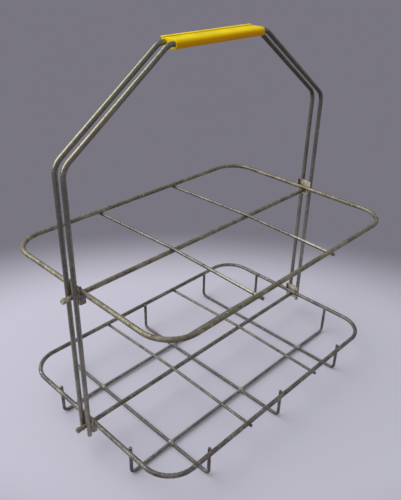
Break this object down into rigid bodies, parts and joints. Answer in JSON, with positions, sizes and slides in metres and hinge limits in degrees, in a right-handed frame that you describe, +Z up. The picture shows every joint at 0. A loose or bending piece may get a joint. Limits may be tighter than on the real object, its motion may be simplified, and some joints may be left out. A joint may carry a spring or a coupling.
{
  "type": "bottle caddy",
  "caption": "Folding wire bottle caddy: two welded wire frames that pivot in pressed saddles on a twin-rod carrying handle with a plastic grip.",
  "frame": {"origin": "on the floor, under the middle of the caddy", "axes": "+X along the caddy and its centre bars, -Y the front side, +Z up"},
  "size_m": [0.3302, 0.2107, 0.3471],
  "materials": {
    "frame_wire": "dull tinned steel wire, tarnished, with brown rust at the welds and along the undersides",
    "handle_wire": "dull grey galvanised steel wire, tarnished and lightly spotted",
    "saddle_sheet": "dull folded steel sheet with rust in its folds",
    "grip_plastic": "smooth yellow extruded plastic with a soft sheen and light scuffs"
  },
  "bodies": {
    "base_frame": {"base_rim": "frame_wire", "base_pivot_bar": "frame_wire", "base_left_divider": "frame_wire", "base_right_divider": "frame_wire", "left_cross_foot": "frame_wire", "middle_cross_foot": "frame_wire", "right_cross_foot": "frame_wire", "front_long_foot": "frame_wire", "back_long_foot": "frame_wire"},
    "handle": {"front_handle_rod": "handle_wire", "back_handle_rod": "handle_wire", "grip": "grip_plastic", "left_base_saddle": "saddle_sheet", "right_base_saddle": "saddle_sheet", "left_upper_saddle": "saddle_sheet", "right_upper_saddle": "saddle_sheet"},
    "upper_frame": {"upper_rim": "frame_wire", "upper_pivot_bar": "frame_wire", "upper_left_divider": "frame_wire", "upper_right_divider": "frame_wire"}
  },
  "joints": [
    {"name": "handle_fold", "type": "hinge", "parent": "base_frame", "child": "handle", "pos_m": [0, 0, 0.02725], "axis": [1, 0, 0], "range_deg": [0, 60]},
    {"name": "upper_frame_fold", "type": "hinge", "parent": "handle", "child": "upper_frame", "pos_m": [0, 0, 0.16575], "axis": [-1, 0, 0], "range_deg": [0, 90]}
  ]
}
